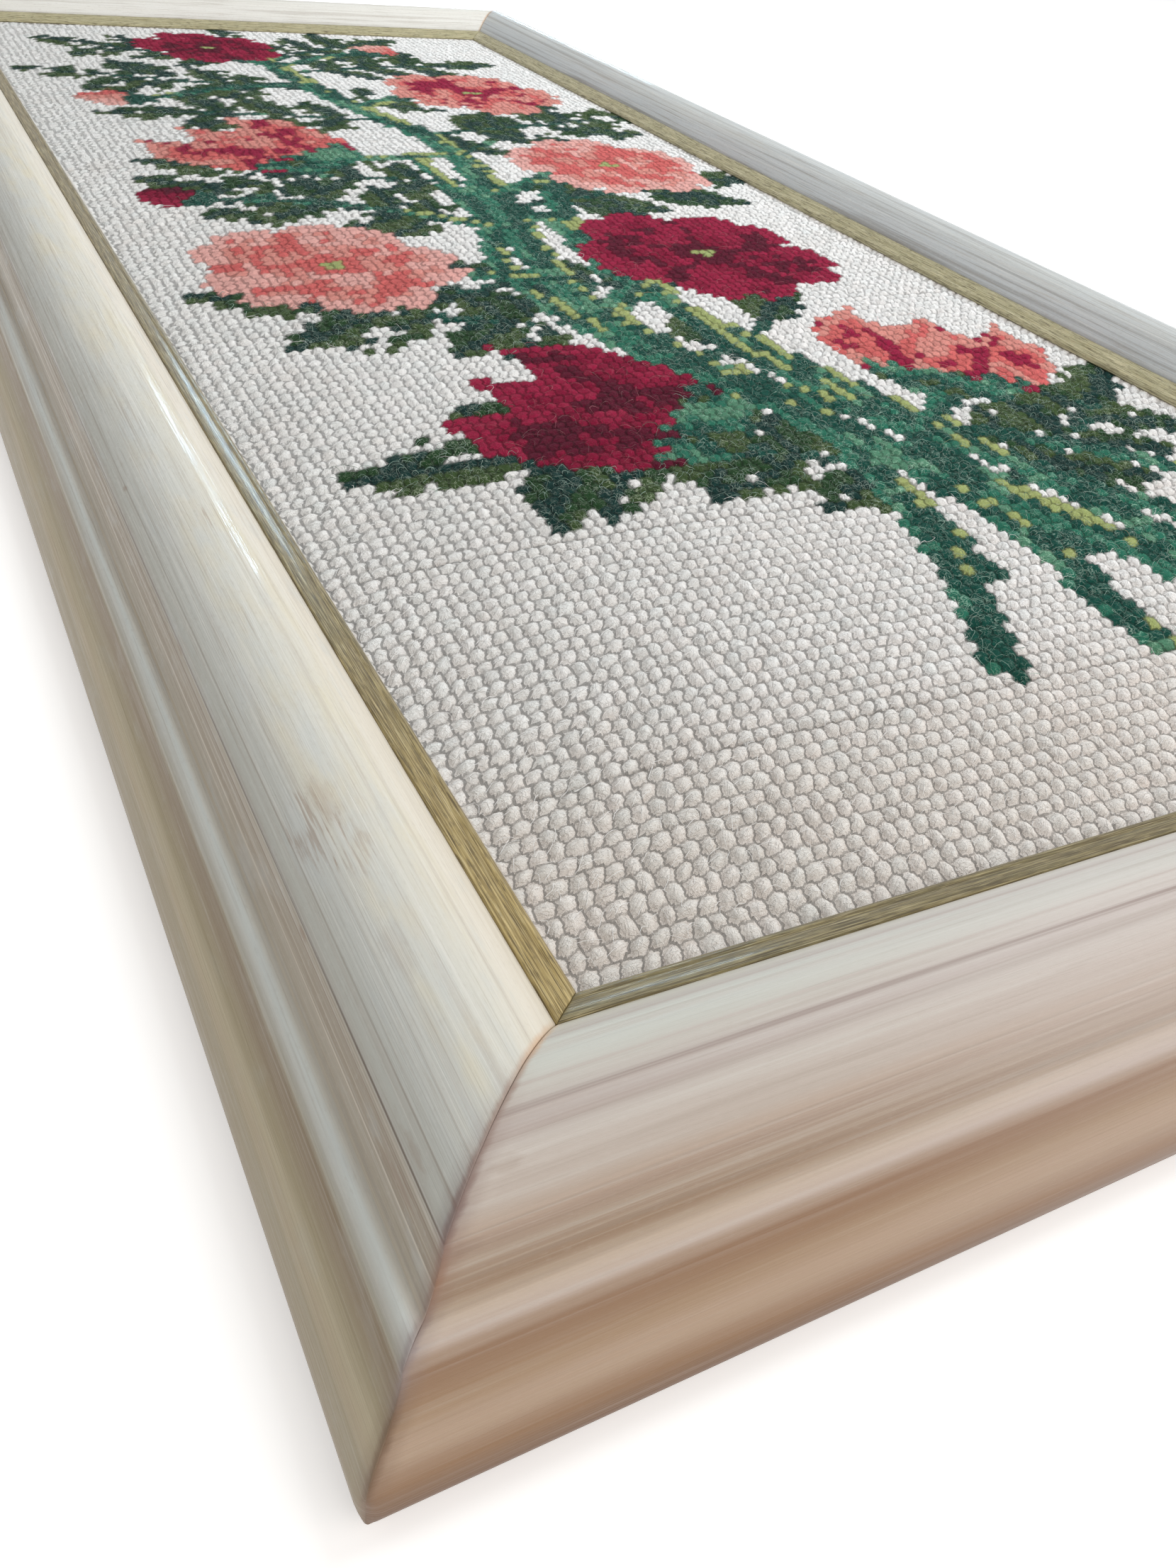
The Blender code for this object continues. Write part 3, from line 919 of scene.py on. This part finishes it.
def drawn_chart():
    """The whole design: leaves first, then stems and flowers over them."""
    chart = Chart(CHART_COLUMNS, CHART_ROWS)
    reds = ("rose red", "crimson", "maroon")
    corals = ("salmon", "coral", "rose red")
    pinks = ("pink", "salmon", "coral")

    # base, heading, stalk length, pairs of leaflets, leaflet length and bend of the stalk
    for spray in (
        ((45, 46), 186, 31, 4, 12.5, -10), ((49, 36), 160, 24, 3, 11.5, -22),
        ((52, 34), 18, 24, 3, 11.5, 22), ((40, 60), 20, 16, 1, 11, 25),
        ((39, 68), 168, 30, 4, 12, -16), ((38, 78), 40, 12, 1, 10, 20),
        ((38, 84), 205, 14, 1, 10, 0), ((41, 98), 158, 32, 4, 12, -12),
        ((42, 104), 22, 32, 4, 12, -8), ((44, 114), 175, 30, 3, 12, -18),
        ((45, 126), 35, 14, 1, 10, 20), ((44, 136), 12, 32, 4, 12, 10),
        ((43, 142), 165, 27, 3, 12, 10), ((40, 150), 35, 20, 2, 11, -20),
        ((38, 160), 172, 30, 4, 12, -14), ((37, 170), 28, 28, 3, 12, -18),
        ((36, 176), 160, 26, 3, 11, -12), ((37, 178), 52, 24, 3, 11, -20),
        ((36, 182), 95, 12, 1, 10, 0),
    ):
        chart.spray(*spray)
    chart.paint(chart.worked_in(LEAF_YARNS) & (chart.scatter > 0.86), "cream")

    # half width of each stem and the points it runs through; the widest is the branch
    for width, *points in (
        (1.7, (58, 22), (54, 40), (48, 62), (44, 84), (49, 106), (54, 118)),
        (1.4, (40, 22), (43, 44), (36, 64), (33, 82), (38, 102), (39, 124)),
        (1.5, (50, 24), (50, 44), (45, 66), (47, 90), (40, 112)),
        (1.3, (34, 13), (40, 28), (44, 48)),
        (1.5, (46, 12), (47, 30), (44, 50)),
        (1.4, (66, 18), (58, 32), (45, 52)),
        (1.2, (74, 26), (62, 38), (50, 46), (42, 58)),
        (2.1, (58, 10), (52, 28), (42, 52), (37, 78), (42, 106), (45, 130), (39, 156), (36, 180)),
        (1.3, (47, 40), (55, 46), (61, 51)),
        (1.4, (43, 52), (39, 51), (35, 48)),
        (1.3, (38, 72), (46, 80), (54, 86)),
        (1.3, (38, 80), (30, 84), (22, 87)),
        (1.2, (42, 108), (51, 115), (61, 120)),
        (1.2, (45, 126), (36, 125), (28, 124)),
        (1.2, (41, 150), (50, 157), (60, 160)),
        (1.0, (38, 164), (26, 160), (15, 154)),
        (1.0, (37, 174), (46, 182), (53, 186)),
        (0.9, (40, 96), (26, 106), (12, 110)),
    ):
        chart.stem(curve(points), width)

    chart.cup((35, 47), 142, 21, 12.0, reds)
    chart.cup((60, 50), 60, 19, 11.0, corals)
    chart.rosette((57, 87), 14.5, reds, 0.5)
    chart.rosette((17, 88), 13.0, pinks, 0.1)
    chart.rosette((63, 121), 13.0, pinks, 0.9)
    chart.cup((28, 123), 130, 21, 12.0, corals)
    chart.rosette((61, 160), 13.0, corals, 0.2)
    chart.rosette((30, 187), 11.0, reds, 0.7)
    chart.bud((15, 153), 165, 10, pinks)
    chart.bud((53, 185), 50, 10, pinks)
    chart.bud((12, 109), 150, 9, reds)
    return chart


# Needlepoint stitches


def drawn_down(x):
    """How far the left edge of the canvas was pulled down, at a place across the picture."""
    return DRAWN_DOWN * np.clip((DRAWN_FROM - x) / DRAWN_WIDTH, 0, 1) ** 2


def stretched(x, y):
    """Where a point of the square stitch grid lies on the canvas, which was pulled out of square."""
    above = np.clip((y + HALF_LENGTH) / HELD_LENGTH, 0, 1)
    free = above * above * (3 - 2 * above)
    sway = 0.9 * np.sin(y / 95.0 + 0.6) + 0.5 * np.sin(y / 37.0)
    swell = 0.5 * np.sin(x / 31.0 + y / 83.0)
    return x + HELD_BACK * free + 0.35 * sway - 1.2, y - drawn_down(x) * free + swell


def stitch_places(chart, margin):
    """Where the chart's stitches lie, and which of them lie inside the opening by a margin."""
    x, y = stretched(chart.x - HALF_WIDTH, chart.y - HALF_LENGTH)
    return x, y, (abs(x) < HALF_WIDTH - margin) & (abs(y) < HALF_LENGTH - margin)


def laid_stitches(chart):
    """Place, slant, half size, crest, depth and colour of every stitch on the chart's square grid."""
    rng = np.random.default_rng(SEED)
    grid = chart.yarn.shape
    ground = chart.yarn == 0
    shade = np.clip(rng.normal(1.0, 0.035, (*grid, 1)), 0.88, 1.08)
    blush = rng.normal(0, 0.006, (*grid, 1)) * np.array((1.0, -0.3, -0.7))
    fullness = np.where(ground, 1.0, 1.2)
    far = np.clip((chart.row - 45) / 95, 0, 1)
    return {
        "x": chart.x + rng.normal(0, 0.16, grid),
        "y": chart.y + rng.normal(0, 0.16, grid),
        "slant": STITCH_SLANT + rng.normal(0, 0.26, grid),
        "length": STITCH_LENGTH / 2 * fullness * rng.normal(1, 0.08, grid),
        "width": STITCH_WIDTH / 2 * fullness * rng.normal(1, 0.1, grid),
        "crest": CREST + np.where(ground, 0.0, -0.1) + rng.normal(0, 0.06, grid),
        "depth": np.where(ground, 1.0, 0.64) * (1 - 0.7 * far) * rng.normal(1, 0.12, grid),
        "dye": np.clip(DYES[chart.yarn] * shade * (1 + blush), 0, 1),
    }


def wool_sheet(name, chart, laid, low, high, steps, material):
    """The stitched surface between two rows: crests that melt into each other over soft hollows."""
    rng = np.random.default_rng(SEED + steps)
    u, v = np.meshgrid(
        np.linspace(FIRST_COLUMN, LAST_COLUMN, (LAST_COLUMN - FIRST_COLUMN) * steps + 1),
        np.linspace(low, high, (high - low) * steps + 1), indexing="ij"
    )
    # the last band ends just past the top sight edge
    if high == BANDS[-1][1]:
        top_edge = (SIGHT_LENGTH + PAST_TOP + drawn_down(u * COLUMN_PITCH - HALF_WIDTH)) / ROW_PITCH
        v = low + (v - low) * (top_edge - low) / (high - low)
    inner = np.zeros(u.shape)
    inner[1:-1, 1:-1] = 1
    u = u + rng.normal(0, 0.1 / steps, u.shape) * inner
    v = v + rng.normal(0, 0.1 / steps, u.shape) * inner
    at_column, at_row = np.floor(u).astype(int) - chart.FIRST, np.floor(v).astype(int) - chart.FIRST

    heights, chosen, strands = [], [], []
    for i in (-1, 0, 1):
        for j in (-1, 0, 1):
            column = np.clip(at_column + i, 0, chart.yarn.shape[0] - 1)
            row = np.clip(at_row + j, 0, chart.yarn.shape[1] - 1)
            near = {key: values[column, row] for key, values in laid.items()}
            dx, dy = u * COLUMN_PITCH - near["x"], v * ROW_PITCH - near["y"]
            c, s = np.cos(near["slant"]), np.sin(near["slant"])
            along, across = dx * c + dy * s, dy * c - dx * s
            far = (along / near["length"]) ** 2 + (across / near["width"]) ** 2
            heights.append(near["crest"] - near["depth"] * far ** 1.15)
            chosen.append(near["dye"])
            strands.append(np.stack([along, across + 0.3 * along, (column * 211 + row) * 3.7], 2))
    heights, chosen, strands = np.array(heights), np.array(chosen), np.array(strands)
    top = heights.max(0)
    melted = top + np.log(np.exp((heights - top) * CREST_MELT).sum(0)) / CREST_MELT
    z = HOLLOW + np.log1p(np.exp((melted - HOLLOW) * HOLLOW_MELT)) / HOLLOW_MELT
    x, y = stretched(u * COLUMN_PITCH - HALF_WIDTH, v * ROW_PITCH - HALF_LENGTH)
    past_edge = np.maximum(abs(x) - HALF_WIDTH, abs(y) - HALF_LENGTH)
    at_slip = np.clip(past_edge / EDGE_WIDTH + 1, 0, 1)
    z = z * (1 - at_slip) + (STITCH_TOP - EDGE_DROP) * at_slip
    roughness = 0.02 + 0.045 * np.clip((v - 6) / 18, 0, 1)
    z = np.minimum(z + rng.normal(0, 1, z.shape) * roughness, STITCH_TOP)
    share = np.exp((heights - top) * COLOUR_MELT)
    share /= share.sum(0)
    # painted shade: the dye is darkened along the strip under the slip, for the slip's shadow
    dye = (share[..., None] * chosen).sum(0) * (1 - at_slip[..., None] * EDGE_SHADE)
    strand = np.take_along_axis(strands, heights.argmax(0)[None, ..., None], 0)[0]

    # the sheet is closed by walls down its rim and a fan of triangles under it
    over = np.stack([x, y, z], 2).reshape(-1, 3)
    quads, rim = grid_faces(np.arange(len(over)).reshape(u.shape))
    under = over[rim] * (1, 1, 0) + (0, 0, CANVAS_TOP + 0.06)
    below = np.arange(len(over), len(over) + len(rim))
    sides = np.stack([rim, below, np.roll(below, -1), np.roll(rim, -1)], 1)
    fan = np.stack([below, np.full_like(below, len(over) + len(rim)), np.roll(below, -1)], 1)
    points = np.concatenate([over, under, under.mean(0, keepdims=True)])
    whole = [*range(len(over)), *rim, 0]
    attributes = {"dye": dye.reshape(-1, 3)[whole], "strand": strand.reshape(-1, 3)[whole]}
    flat = (over[:, :2] - over[:, :2].min(0)) / np.ptp(over[:, :2], axis=0) * (1, 0.95) + (0, 0.05)
    places = [flat[quads], strip(len(rim), 0.025, 0.04), strip(len(rim), 0.0, 0.015)[:, [1, 0, 2]]]
    return add_piece(name, material, "wool", points, [quads, sides, fan], attributes, places)


def add_stitches(chart, material):
    """The stitched surface in bands, coarser farther up the picture."""
    laid = laid_stitches(chart)
    return [
        wool_sheet(f"stitches_{number}", chart, laid, low, high, steps, material)
        for number, (low, high, steps) in enumerate(BANDS, 1)
    ]


def add_hairs(name, material, rng, places, dyes, lengths, heading, lift, thickness, steps, curliness=0.45):
    """Curled fibres as thin three-sided tubes that lie over the stitches."""
    count = len(places)
    curl = rng.normal(0, curliness, (count, 1)) * (lengths / steps)[:, None]
    waver = rng.normal(0, 0.22, (count, steps)).cumsum(1)
    turn = heading[:, None] + curl * np.arange(steps)[None] + waver
    run = np.stack([np.cos(turn), np.sin(turn)], 2) * (lengths / steps)[:, None, None]
    run = np.concatenate([np.zeros((count, 1, 2)), run.cumsum(1)], 1) + places[:, None]
    t = np.linspace(0, 1, steps + 1)[None]
    sink = 0.3
    arch = (lift[:, None] + sink) * np.sin(pi * t) ** 0.7
    height = CREST - sink + arch + rng.normal(0, 0.04, (count, steps + 1))
    centre = np.concatenate([run, height[..., None]], 2)
    ahead = np.gradient(centre, axis=1)
    ahead /= np.linalg.norm(ahead, axis=2, keepdims=True)
    side = np.cross(ahead, (0.0, 0.0, 1.0))
    side /= np.maximum(np.linalg.norm(side, axis=2, keepdims=True), 1e-6)
    top = np.cross(side, ahead)
    taper = (thickness / 2 * (0.35 + 0.65 * np.sin(pi * np.clip(t, 0.08, 0.92))))[..., None]
    ring = [centre + (side * cos(a) + top * sin(a)) * taper for a in (pi / 2, pi * 7 / 6, pi * 11 / 6)]
    points = np.stack(ring, 2).reshape(-1, 3)
    index = np.arange(len(points)).reshape(count, steps + 1, 3)
    following = np.roll(index, -1, 2)
    walls = np.stack([index[:, :-1], following[:, :-1], following[:, 1:], index[:, 1:]], 3).reshape(-1, 4)
    caps = np.concatenate([index[:, 0], index[:, -1, ::-1]])
    attributes = {"dye": np.repeat(dyes, (steps + 1) * 3, 0)}

    grid = int(np.ceil(np.sqrt(count)))
    cell = np.stack(np.divmod(np.arange(count), grid), 1)[:, None, None, None]
    step, side = np.meshgrid(np.arange(steps), np.arange(3), indexing="ij")
    corners = np.stack([np.stack([step + i, side + j], 2) for i, j in ((0, 0), (0, 1), (1, 1), (1, 0))], 2)
    wall_places = (cell + corners / (steps, 3) * (0.9, 0.7)) / grid
    tip = np.array([(0, 0.8), (0.2, 0.95), (0.4, 0.8)])
    cap_places = [(cell[:, 0, 0] + tip + shift) / grid for shift in ((0, 0), (0.5, 0))]
    return add_piece(name, material, "wool", points, [walls, caps], attributes, [wall_places, *cap_places])


def add_fuzz(chart, material):
    """Loose fibres that stand off the wool, most of them on the greens."""
    rng = np.random.default_rng(SEED + 1)
    x, y, inside = stitch_places(chart, 3)
    green = chart.worked_in(GREEN_YARNS)
    ground = chart.yarn == 0
    near = np.clip(1.35 - chart.row / 130, 0.22, 1)
    # name, stitches it grows on and how many on each, palest colour, range of its share, lengths,
    # thickness, steps and curliness
    kinds = (
        ("curled_fibres", green, 2.6, (0.5, 0.72, 0.62), (0.04, 0.85), (1.2, 3.6), 0.08, 4, 1.0),
        ("loose_fibres", ~green & ~ground, 0.3, (0.8, 0.45, 0.44), (0.05, 0.45), (1.8, 5.5), 0.07, 5, 0.45),
        ("stray_fibres", ground, 0.07, (0.95, 0.94, 0.92), (0.7, 0.7), (2.2, 7.0), 0.08, 5, 0.45),
    )
    pieces = []
    for name, grown, number, palest, shares, reach, thickness, steps, curliness in kinds:
        copies = np.floor(number * near + rng.random(x.shape)).astype(int) * (inside & grown)
        chosen = np.repeat(np.arange(x.size), copies.ravel())
        count = len(chosen)
        share = shares[0] + (shares[1] - shares[0]) * rng.random((count, 1)) ** 1.6
        dyes = DYES[chart.yarn.ravel()[chosen]] * (1 - share) + np.array(palest) * share
        places = np.stack([x.ravel()[chosen], y.ravel()[chosen]], 1) + rng.uniform(-1.4, 1.4, (count, 2))
        lengths = rng.uniform(*reach, count)
        lift = rng.uniform(0.05, 0.6, count)
        heading = rng.uniform(0, 2 * pi, count)
        pieces.append(add_hairs(
            name, material, rng, places, dyes, lengths, heading, lift, thickness, steps, curliness
        ))
    return pieces


def add_nap(chart, material):
    """Short fibres that lie along the ground's stitches and bridge them."""
    rng = np.random.default_rng(SEED + 2)
    x, y, inside = stitch_places(chart, 2)
    density = np.where(inside & (chart.yarn == 0), np.clip(1.3 - chart.row / 60, 0, 1.1), 0)
    copies = np.floor(density + rng.random(x.shape)).astype(int).ravel()
    places = np.repeat(np.stack([x.ravel(), y.ravel()], 1), copies, 0)
    count = len(places)
    lengths = rng.uniform(1.6, 3.4, count)
    heading = STITCH_SLANT + rng.normal(0, 0.45, count)
    places = places + rng.normal(0, 0.55, (count, 2))
    places -= np.stack([np.cos(heading), np.sin(heading)], 1) * lengths[:, None] / 2
    dyes = np.clip(np.array(YARNS["cream"]) * rng.uniform(0.84, 1.12, (count, 1)), 0, 0.95)
    lift = rng.uniform(0.0, 0.16, count)
    return add_hairs("nap", material, rng, places, dyes, lengths, heading, lift, 0.085, 3)


def add_canvas(material):
    """The canvas under the stitches: one closed sheet that runs under the slip to the rebate."""
    half_width, half_length = HALF_WIDTH + LAYER_REACH, HALF_LENGTH + LAYER_REACH
    columns, rows = 16, 40
    gx, gy = np.meshgrid(
        np.linspace(-half_width, half_width, columns + 1),
        np.linspace(-half_length, half_length, rows + 1), indexing="ij"
    )
    slack = 0.05 * np.sin(gx / 13.0) * np.sin(gy / 17.0)
    top = np.stack([gx, gy, CANVAS_TOP - 0.05 + slack], 2).reshape(-1, 3)
    bottom = top * (1, 1, 0) + (0, 0, CANVAS_BOTTOM)
    quads, rim = grid_faces(np.arange(len(top)).reshape(gx.shape))
    after = np.roll(rim, -1)
    sides = np.stack([rim, rim + len(top), after + len(top), after], 1)[:, ::-1]
    faces = [quads, quads[:, ::-1] + len(top), sides]
    flat = (top[:, :2] / (half_width, half_length) + 1) / 2 * (1, 0.46)
    places = [flat[quads] + (0, 0.54), flat[quads[:, ::-1]] + (0, 0.06), strip(len(rim), 0.0, 0.04)]
    return add_piece(
        "canvas", material, "wool", np.concatenate([top, bottom]), faces, {}, places, ["needlepoint"]
    )


# Stage, in metres


def add_stage():
    """A pale floor, soft light and the camera."""
    reach, drop = 6.0, 0.0005
    mesh = bpy.data.meshes.new("floor")
    corners = [(-reach, -reach, 0), (reach, -reach, 0), (reach, reach, 0), (-reach, reach, 0)]
    mesh.from_pydata(corners, [], [(0, 1, 2, 3)])
    floor = add_object("floor", mesh)
    floor.location.z = -drop
    f = Finish("white floor")
    f.set(Base_Color=(0.95, 0.95, 0.95), Roughness=0.9)
    f.set(Emission_Color=(1.0, 1.0, 1.0), Emission_Strength=0.4)
    mesh.materials.append(f.material)

    world = bpy.data.worlds.new("studio")
    world.use_nodes = True
    sky = world.node_tree.nodes["Background"].inputs
    sky["Color"].default_value = (1.0, 0.985, 0.97, 1.0)
    sky["Strength"].default_value = 0.465
    bpy.context.scene.world = world

    # name, heading clockwise from +Y, height above the horizon, slant, distance, width, height, power,
    # colour, and whether it shows in reflections
    for name, heading, rise, slant, distance, width, height, power, colour, mirrored in (
        ("window", 75, 50, 0, 0.9, 0.8, 0.7, 7.9, (0.94, 0.985, 1.0), False),
        ("low window", 26.3, 6.9, 9.2, 1.62, 0.31, 0.03, 1.1, (0.55, 0.8, 1.0), True),
        ("room", 160, 38, 0, 1.1, 0.9, 0.8, 3.4, (1.0, 0.9, 0.81), False),
    ):
        lamp = bpy.data.lights.new(name, "AREA")
        lamp.shape, lamp.size, lamp.size_y = "RECTANGLE", width, height
        lamp.energy, lamp.color = power, colour
        light = add_object(name, lamp)
        out = Matrix.Rotation(-radians(heading), 4, "Z") @ Matrix.Rotation(radians(90 + rise), 4, "X")
        out = out @ Matrix.Translation((0, 0, -distance)) @ Matrix.Rotation(radians(slant), 4, "Z")
        light.matrix_world = out @ Matrix.Rotation(pi, 4, "Y")
        light.visible_glossy = mirrored

    lens = bpy.data.cameras.new("camera")
    lens.lens, lens.sensor_width, lens.clip_start = CAMERA_LENS, SENSOR_WIDTH, CAMERA_CLIP
    camera = add_object("camera", lens)
    camera.matrix_world = (
        Matrix.Translation([v * MM for v in CAMERA_PLACE])
        @ Matrix.Rotation(-CAMERA_HEADING, 4, "Z")
        @ Matrix.Rotation(pi / 2 - CAMERA_DIP, 4, "X")
        @ Matrix.Rotation(CAMERA_ROLL, 4, "Z")
    )
    bpy.context.scene.camera = camera
    bpy.context.scene.view_settings.view_transform = "Standard"


def main():
    add_stage()
    waxed = whitened_wood("whitened wood, waxed", 0.22, 0.3)
    add_frame(whitened_wood("whitened wood", 0.28, 0.09), waxed, gilt())
    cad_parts["mounting_board"].material_slots[0].material = pressed_board()
    chart = drawn_chart()
    canvas = add_canvas(canvas_thread())
    stitches = add_stitches(chart, wool())
    fibre = loose_wool()
    fuzz = [*add_fuzz(chart, fibre), add_nap(chart, fibre)]
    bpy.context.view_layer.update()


main()
